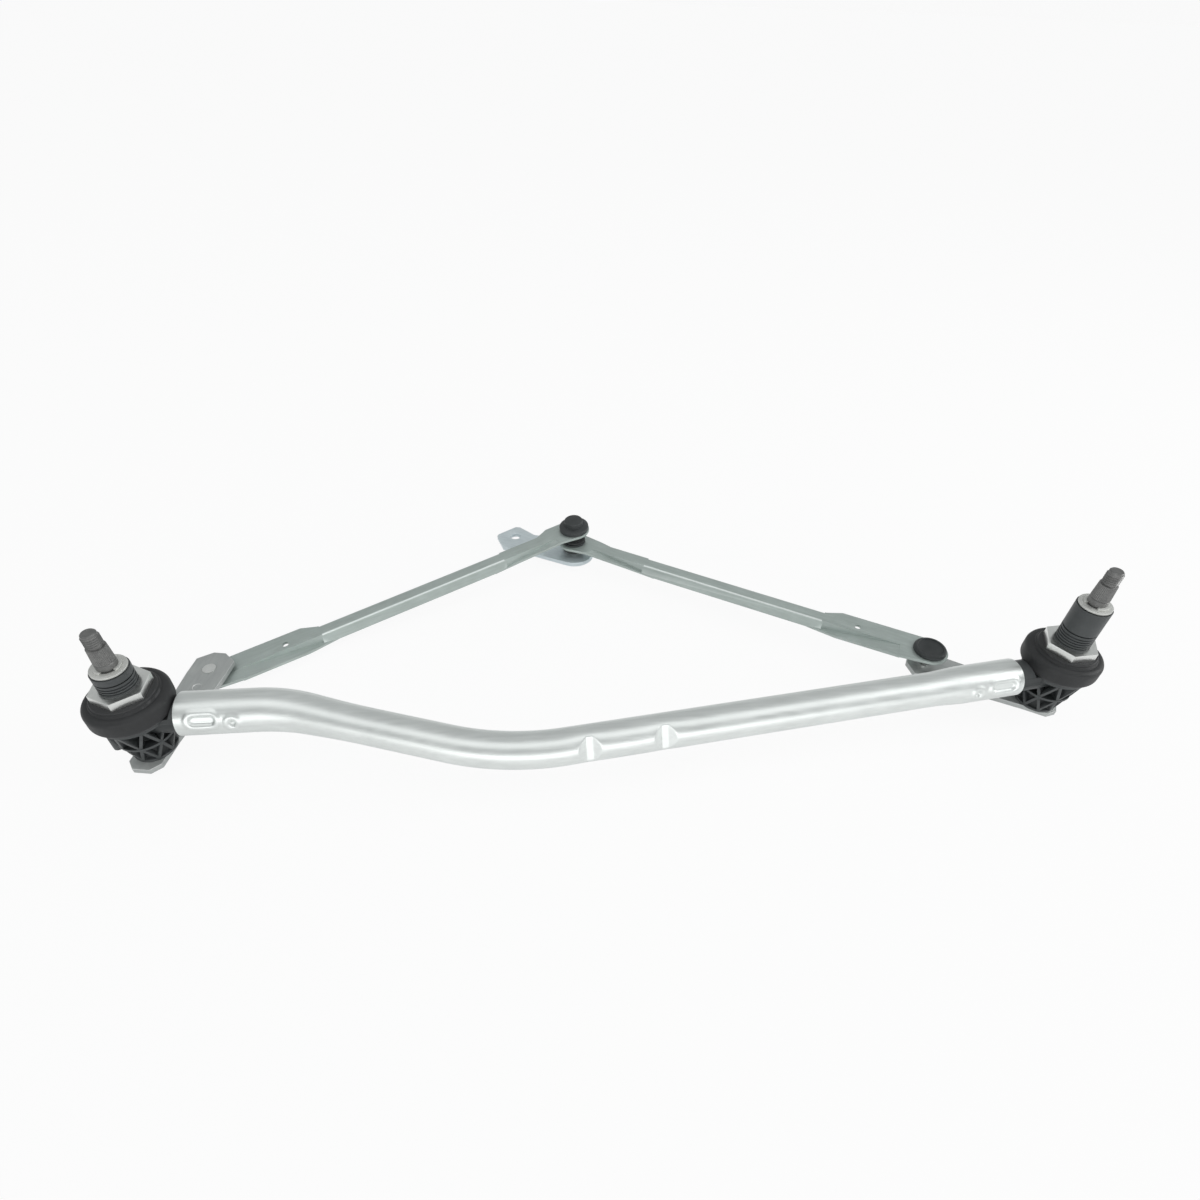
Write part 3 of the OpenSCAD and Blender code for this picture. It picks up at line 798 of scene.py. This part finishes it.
    def press(self, obj: Piece) -> None:
        """Moves the skin in or out where the tube is pressed or widened.

        Args:
            obj: the swept skin.
        """
        moves = self.offsets(obj, self.left_station, self.left_shapes)
        for index, move in self.offsets(obj, self.right_station, self.right_shapes).items():
            moves[index] = moves.get(index, 0.0) + move
        for sign in (1.0, -1.0):
            chosen = {index: sign * move for index, move in moves.items() if sign * move > self.least_move}
            self.displace(obj, chosen, sign)

    def left_station(self, point: Vector) -> Vector:
        """A point's place along the left run, its bend and the middle run.

        Args:
            point: the point in mm.

        Returns:
            How far along the centreline it lies, and its two offsets from there.
        """
        if point.x <= self.begin:
            return point - Vector((0, 0, self.height))
        off = point - Vector((self.begin, -self.bend_1, self.height))
        turned = math.atan2(off.x, off.y)
        if turned <= self.turn_1:
            along = self.begin + self.bend_1 * turned
            return Vector((along, math.hypot(off.x, off.y) - self.bend_1, off.z))
        end = self.begin + self.bend_1 * self.turn_1
        return self.to_middle @ point + Vector((end - self.tangent_1, 0, 0))

    def right_station(self, point: Vector) -> Vector:
        """A point's place along the right run and its two offsets from there."""
        return self.to_right @ point

    def run(self, start: float, end: float, bearing: float, shapes: tuple[Shape, ...]) -> None:
        """Extrudes the selected ring along a straight run, in fine steps where it is pressed.

        Args:
            start: where the run starts, in mm along it.
            end: where it ends.
            bearing: its direction about Z in radians.
            shapes: the shapes on this run.
        """
        spans = [(one.at - one.reach - self.fine, one.at + one.reach + self.fine)
                 for one in shapes if not isinstance(one, Swage)]
        at = start
        while at < end - self.hair:
            pressed = any(low - self.hair <= at < high for low, high in spans)
            stride = self.fine if pressed else self.coarse
            ahead = [low - at for low, _ in spans if self.hair < low - at < stride]
            stride = min([stride, end - at, *ahead])
            bpy.ops.mesh.extrude_region_move(TRANSFORM_OT_translate={
                "value": (stride * MM * math.cos(bearing), stride * MM * math.sin(bearing), 0)})
            at += stride

    def offsets(self, obj: Piece, station: Callable[[Vector], Vector],
                shapes: tuple[Shape, ...]) -> dict[int, float]:
        """How far each point of one run is moved.

        Args:
            obj: the swept skin.
            station: gives a point's place along the run and off its centreline, in mm.
            shapes: the shapes on it.

        Returns:
            Each point's offset along its normal, in mm.
        """
        found: dict[int, float] = {}
        for vertex in obj.data.vertices:
            p = station(vertex.co / MM)
            if abs(math.hypot(p.y, p.z) - self.radius) < self.stray:
                angle = math.atan2(p.z, -p.y)
                found[vertex.index] = sum(one.offset(p.x, angle, self.radius) for one in shapes)
        return found

    @staticmethod
    def displace(obj: Piece, offsets: dict[int, float], sign: float) -> None:
        """Moves points along their normals.

        Args:
            obj: the swept skin.
            offsets: how far each point moves, in mm.
            sign: 1 for outwards and -1 for inwards.
        """
        group = obj.vertex_groups.new(name="moved")
        most = max(offsets.values())
        for index, offset in offsets.items():
            group.add([index], offset / most, "REPLACE")
        Bench.modify(obj, "DISPLACE", direction="NORMAL", mid_level=0.0,
                     strength=sign * most * MM, vertex_group=group.name)
        obj.vertex_groups.clear()


@dataclass
class Spindle:
    """A turned spindle: foot, shaft, clip groove, knurled cone and threaded end, with its washer and clip.

    Lengths are in mm, and x and washer are the axis and the height of the washer's top. The gap between two
    teeth, the thread's flank and the washer's growth are shares.
    """

    side: Side
    x: float
    washer: float
    shaft: float = 6.0
    foot: float = 5.0
    stud: float = 5.0
    lever_top: float = 5.5
    clip: float = 1.24
    groove: float = 0.8
    lift: float = 5.1
    cone: float = 11.8
    stud_length: float = 10.2
    pitch: float = 1.5
    depth: float = 0.7
    teeth: int = 36
    edge: float = 0.5
    undercut: Triple = (-0.8, -0.2, 0.3)
    shoulder: float = 0.4
    tip: float = 0.7
    tip_in: float = 0.6
    slack: float = 0.05
    tooth_gap: float = 0.955
    root: float = 0.1
    crest: float = 0.02
    flank: float = 0.42
    facets: int = 40
    sharp: float = 28.0
    washer_rim: float = 8.5
    washer_growth: float = 1.08

    def build(self) -> None:
        """Turns the spindle and dresses the washer and the clip."""
        Bench.fit(self.turned(), self.side.node("shaft"), Finish.PHOSPHATE.made())
        zinc = Finish.WASHER.made()
        Bench.copy_of(self.side.node("washer"), 0.25, zinc, shaped=self.widened)
        Bench.copy_of(self.side.node("clip"), 0.15, zinc)

    def widened(self, obj: Piece) -> None:
        """Brings the washer's rim out over the sleeve's edge.

        Args:
            obj: the washer's copy.
        """
        axis = self.x * MM
        with Bench.edit(obj):
            Bench.pick(obj, lambda p: math.hypot(p.x - axis, p.y) > self.washer_rim * MM)
            bpy.ops.transform.resize(value=(self.washer_growth, self.washer_growth, 1),
                                     center_override=(axis, 0, 0))

    def profile(self) -> list[tuple[float, float]]:
        """Radius and height of each ring, from the foot upwards.

        Returns:
            The rings in mm.
        """
        cone = self.washer + self.lift
        stud = cone + self.cone
        top = stud + self.stud_length
        core = self.stud - self.depth
        clip_top = self.washer + self.clip
        groove = self.shaft - self.groove
        below, deepest, above = (cone + rise for rise in self.undercut)
        return [
            (self.foot - self.edge, 0.0), (self.foot, self.edge),
            (self.foot, self.lever_top), (self.shaft, self.lever_top),
            (self.shaft, self.washer), (groove, self.washer), (groove, clip_top), (self.shaft, clip_top),
            (self.shaft, below), (self.shaft - self.edge, deepest), (self.shaft, above),
            (self.stud + self.edge, stud - self.shoulder),
            (core, stud), (core, top - self.tip), (core - self.tip_in, top),
        ]

    def turned(self) -> Piece:
        """Lathes the rings, cuts the knurl and winds the thread.

        Returns:
            The spindle as one mesh.
        """
        rings = self.profile()
        radius, height = rings[0]
        Bench.clear()
        bpy.ops.mesh.primitive_circle_add(vertices=2 * self.teeth, radius=radius * MM, fill_type="NGON",
                                          location=(self.x * MM, 0, height * MM))
        obj = Bench.named(self.side.node("spindle_turned"))
        with Bench.edit(obj):
            bpy.ops.mesh.select_all(action="SELECT")
            for radius_next, height_next in rings[1:]:
                bpy.ops.mesh.extrude_region_move(
                    TRANSFORM_OT_translate={"value": (0, 0, (height_next - height) * MM)})
                share = radius_next / radius
                bpy.ops.transform.resize(
                    value=(share, share, 1), center_override=(self.x * MM, 0, height_next * MM))
                radius, height = radius_next, height_next
        self.knurl(obj)
        thread = self.thread()
        Bench.take(obj)
        thread.select_set(True)
        bpy.ops.object.join()
        with Bench.edit(obj):
            bpy.ops.mesh.select_all(action="SELECT")
            bpy.ops.mesh.normals_make_consistent(inside=False)
        Bench.smooth(obj, self.sharp)
        return obj

    def knurl(self, obj: Piece) -> None:
        """Draws every other point of the cone in, which leaves the knurl's teeth.

        Args:
            obj: the lathed spindle.
        """
        cone = self.washer + self.lift
        low = (cone + self.undercut[-1] - self.slack) * MM
        high = (cone + self.cone - self.shoulder + self.slack) * MM
        step = math.pi / self.teeth

        def groove(p: Vector) -> bool:
            """True for a point at the bottom of a tooth gap."""
            if not low < p.z < high:
                return False
            return round(math.atan2(p.y, p.x - self.x * MM) / step) % 2 == 0

        with Bench.edit(obj):
            Bench.pick(obj, groove)
            bpy.ops.transform.resize(
                value=(self.tooth_gap, self.tooth_gap, 1), center_override=(self.x * MM, 0, 0))

    def thread(self) -> Piece:
        """Winds a ridge up the threaded end.

        Returns:
            The ridge.
        """
        start = self.washer + self.lift + self.cone + self.tip
        turns = int((self.stud_length - 2 * self.tip) / self.pitch)
        Bench.clear()
        bpy.ops.mesh.primitive_circle_add(vertices=3, radius=1.0, location=(0, 0, 0))
        ridge = Bench.named("ridge")
        inner = self.stud - self.depth - self.root
        outer = self.stud - self.crest
        half = self.flank * self.pitch
        corners = [(inner, -half), (outer, 0.0), (inner, half)]
        for vertex, (radius, height) in zip(ridge.data.vertices, corners):
            vertex.co = (radius * MM, 0, height * MM)
        Bench.modify(ridge, "SCREW", axis="Z", angle=2 * math.pi, screw_offset=self.pitch * MM,
                     iterations=turns, steps=self.facets, render_steps=self.facets,
                     use_merge_vertices=False)
        with Bench.edit(ridge):
            bpy.ops.mesh.select_mode(type="EDGE")
            bpy.ops.mesh.select_all(action="DESELECT")
            bpy.ops.mesh.select_non_manifold()
            bpy.ops.mesh.fill()
        ridge.location = (self.x * MM, 0, start * MM)
        Bench.take(ridge)
        bpy.ops.object.transform_apply(location=True, rotation=True, scale=True)
        return ridge


@dataclass
class Pivot:
    """A ribbed housing with its rubber disc, hex nut and bushes."""

    side: Side
    nut_rim: float = 13.0

    def build(self) -> None:
        """Rounds the moulded and turned pieces and gives them their finishes."""
        Bench.copy_of(self.side.node("housing"), 0.22, Finish.PLASTIC.made(), sharp=30.0, segments=1)
        Bench.copy_of(self.side.node("disc"), 0.3, Finish.RUBBER.made(), sharp=24.0)
        Bench.copy_of(self.side.node("nut"), 0.35, Finish.BRIGHT.made(), sharp=20.0, segments=3,
                      shaped=self.squared)
        bronze = Finish.BRONZE.made()
        for name in ("bush_low", "bush_top"):
            Bench.copy_of(self.side.node(name), 0.2, bronze)

    def squared(self, obj: Piece) -> None:
        """Brings the outer corners of the nut's top up to its flat top face.

        Args:
            obj: the nut's copy.
        """
        heights = [vertex.co.z for vertex in obj.data.vertices]
        middle = (min(heights) + max(heights)) / 2
        axis = sum((vertex.co for vertex in obj.data.vertices), Vector()) / len(heights)

        def outer(p: Vector) -> bool:
            """True for a point of the upper half that is outside the rim."""
            return p.z > middle and math.hypot(p.x - axis.x, p.y - axis.y) > self.nut_rim * MM

        with Bench.edit(obj):
            Bench.pick(obj, outer)
            bpy.ops.transform.resize(value=(1, 1, 0), center_override=(0, 0, max(heights)))


@dataclass(frozen=True)
class Pull:
    """A corner of a link that is moved, in mm.

    Its place is given along and across the link. It moves by shift across and by slide along it, and only
    points below a height are moved.
    """

    along: float
    across: float
    shift: float = 0.0
    slide: float = 0.0
    below: float = 1000.0


@dataclass
class LeverAndLink:
    """A lever with its ball stud, and the stamped link with its sockets.

    Bearings are in degrees about Z, and the joint is where the link meets the lever, in mm. A point within
    grasp of a pull's corner moves with it.
    """

    side: Side
    lever_bearing: float
    link_bearing: float
    joint: tuple[float, float]
    pulls: tuple[Pull, ...]
    sockets: tuple[str, ...]
    dished: str = ""
    cap_rim: float = 1.6
    cap_depth: float = 1.1
    grasp: float = 1.6

    def build(self) -> None:
        """Rounds the stamped edges and gives each piece its finish."""
        lever = Finish.LEVER.made(math.radians(self.lever_bearing))
        Bench.copy_of(self.side.node("lever"), 0.5, lever, sharp=30.0, segments=3)
        Bench.copy_of(self.side.node("ball_stud"), 0.2, Finish.BRIGHT.made())
        link = Finish.LINK.made(math.radians(self.link_bearing))
        Bench.copy_of(self.side.node("link"), 0.7, link, sharp=30.0, segments=3, shaped=self.drawn_in)
        black = Finish.PLASTIC.made()
        for name in self.sockets:
            socket = Bench.copy_of(self.side.node(name), 0.35, black, sharp=30.0, segments=3)
            if name == self.dished:
                Bench.dish(socket, self.cap_rim, self.cap_depth, sharp=30.0)

    def drawn_in(self, obj: Piece) -> None:
        """Draws the corners of the link's edge strips in and slants the ends of its far flange.

        Args:
            obj: the link's copy.
        """
        turn = Matrix.Rotation(math.radians(self.link_bearing), 4, "Z")
        place = Matrix.Translation((*self.joint, 0)) @ turn
        back = place.inverted()
        for pull in self.pulls:

            def near(p: Vector) -> bool:
                """True for a point at the corner."""
                local = back @ (p / MM)
                away = math.hypot(local.x - pull.along, local.y - pull.across)
                return local.z < pull.below and away < self.grasp

            with Bench.edit(obj):
                Bench.pick(obj, near)
                move = Vector((pull.slide * MM, pull.shift * MM, 0))
                bpy.ops.transform.translate(value=place.to_3x3() @ move)


@dataclass
class Crank:
    """The loose motor crank with its double stud and rubber boot."""

    bearing: float = 153.8

    def build(self) -> None:
        """Rounds the edges and gives each piece its finish."""
        zinc = Finish.CRANK.made(math.radians(self.bearing))
        Bench.copy_of("crank_plate", 0.5, zinc, sharp=30.0, segments=3)
        Bench.copy_of("crank_pin", 0.3, Finish.BRIGHT.made())
        Bench.copy_of("pin_boot", 0.3, Finish.RUBBER.made())


@dataclass(frozen=True)
class Lamp:
    """A soft lamp: its place and its width and height in metres, and its power in watts."""

    name: str
    place: Triple
    size: tuple[float, float]
    power: float

    def hang(self, target: Triple) -> None:
        """Hangs the lamp.

        Args:
            target: the place that it looks at.
        """
        data = bpy.data.lights.new(self.name, "AREA")
        data.shape = "RECTANGLE"
        data.size, data.size_y = self.size
        data.energy = self.power
        obj = bpy.data.objects.new(self.name, data)
        bpy.context.scene.collection.objects.link(obj)
        obj.location = self.place
        obj.rotation_euler = (Vector(target) - Vector(self.place)).to_track_quat("-Z", "Y").to_euler()


@dataclass
class Studio:
    """A pale floor, soft light and the camera at the photograph's place, in metres."""

    place: Triple = (0.2526, -0.3110, 0.3882)
    right: Triple = (0.9952, -0.0927, 0.0306)
    up: Triple = (0.0375, 0.6530, 0.7565)
    forward: Triple = (0.0901, 0.7517, -0.6533)
    lens: float = 21.0
    sensor: float = 36.0
    clip: tuple[float, float] = (0.01, 500.0)
    middle: tuple[float, float] = (0.3, 0.1)
    floor_drop: float = 0.0002
    floor_size: float = 200.0
    edge_radius: float = 90.0
    edge_height: float = 6.0
    edge_sunk: float = 0.1
    seen_glow: float = 0.92
    mirrored_glow: float = 0.35
    room: Triple = (0.46, 0.472, 0.472)
    target: Triple = (0.3, 0.05, 0.05)
    lamps: tuple[Lamp, ...] = (
        Lamp("front", (0.2, -2.2, 0.34), (4.0, 0.75), 15.0),
        Lamp("key", (0.3, -0.36, 1.7), (3.5, 1.0), 7.5),
        Lamp("side", (1.9, -0.2, 0.7), (0.6, 0.9), 7.0),
    )

    def build(self) -> None:
        """Sets the whole stage."""
        self.camera()
        self.floor()
        for lamp in self.lamps:
            lamp.hang(self.target)
        self.world()
        bpy.context.scene.view_settings.view_transform = "Standard"

    def camera(self) -> None:
        """Puts the camera where the photograph was taken."""
        data = bpy.data.cameras.new("camera")
        data.lens = self.lens
        data.sensor_width = self.sensor
        data.sensor_fit = "HORIZONTAL"
        data.clip_start, data.clip_end = self.clip
        obj = bpy.data.objects.new("camera", data)
        bpy.context.scene.collection.objects.link(obj)
        axes = Matrix((self.right, self.up, [-v for v in self.forward])).transposed()
        obj.matrix_world = Matrix.Translation(self.place) @ axes.to_4x4()
        bpy.context.scene.camera = obj

    def floor(self) -> None:
        """Lays the floor and a low far edge, which show as white and keep a soft shadow."""
        made = Graph("pale_floor")
        made.shader.inputs["Base Color"].default_value = (0.9, 0.9, 0.9, 1.0)
        made.shader.inputs["Roughness"].default_value = 0.9
        glow = made.node("ShaderNodeEmission")
        glow.inputs["Color"].default_value = (1.0, 1.0, 1.0, 1.0)
        mix = made.node("ShaderNodeMixShader")
        rays = made.node("ShaderNodeLightPath")
        mirrored = made.plus(rays.outputs["Is Glossy Ray"], rays.outputs["Is Transmission Ray"])
        seen = made.span(rays.outputs["Is Camera Ray"], 0.0, self.seen_glow, start=0.0, end=1.0)
        mirrored = made.span(mirrored, 0.0, self.mirrored_glow, start=0.0, end=1.0)
        made.link(made.plus(seen, mirrored), mix.inputs["Fac"])
        made.link(made.shader.outputs["BSDF"], mix.inputs[1])
        made.link(glow.outputs["Emission"], mix.inputs[2])
        made.link(mix.outputs["Shader"], made.tree.nodes["Material Output"].inputs["Surface"])
        level = CAD_BOX[0][2] - self.floor_drop
        Bench.clear()
        bpy.ops.mesh.primitive_plane_add(size=self.floor_size, location=(*self.middle, level))
        self.staged("floor", made.material)
        Bench.clear()
        bpy.ops.mesh.primitive_cylinder_add(
            vertices=96, radius=self.edge_radius, depth=self.edge_height, end_fill_type="NOTHING",
            location=(*self.middle, level + self.edge_height / 2 - self.edge_sunk))
        self.staged("edge", made.material)

    @staticmethod
    def staged(name: str, material: bpy.types.Material) -> None:
        obj = bpy.context.object
        obj.name = name
        obj.data.materials.append(material)

    def world(self) -> None:
        """Fills the room with soft light."""
        world = bpy.data.worlds.new("room")
        bpy.context.scene.world = world
        world.use_nodes = True
        base = world.node_tree.nodes["Background"]
        base.inputs["Color"].default_value = (*self.room, 1.0)
        base.inputs["Strength"].default_value = 1.0


def main() -> None:
    """Builds every sub-assembly in order and then the stage."""
    logging.basicConfig(level=logging.INFO, format="%(name)s: %(message)s")
    FrameTube().build()
    for side in Side:
        Pivot(side).build()
    Spindle(Side.LEFT, x=0.0, washer=80.8).build()
    Spindle(Side.RIGHT, x=SPACING, washer=98.8).build()
    LeverAndLink(
        Side.LEFT, lever_bearing=80.6, link_bearing=26.1, joint=(11.26, 68.98),
        pulls=(
            Pull(along=68.2, across=-16.0, shift=6.0),
            Pull(along=251.7, across=-10.5, shift=4.5),
            Pull(along=80.6, across=8.8, slide=9.0, below=0.0),
            Pull(along=239.8, across=8.8, slide=-9.0, below=14.0),
        ),
        sockets=("lever_socket", "pin_socket")).build()
    LeverAndLink(
        Side.RIGHT, lever_bearing=148.5, link_bearing=147.7, joint=(548.4, 40.81),
        pulls=(
            Pull(along=67.5, across=16.0, shift=-6.0),
            Pull(along=249.5, across=10.7, shift=-4.5),
            Pull(along=285.5, across=-13.1, shift=3.0),
            Pull(along=79.7, across=-8.7, slide=9.0, below=12.0),
            Pull(along=237.3, across=-8.7, slide=-9.0, below=8.0),
        ),
        sockets=("lever_socket", "pin_ring"), dished="lever_socket").build()
    Crank().build()
    Studio().build()


if __name__ == "__main__":
    main()
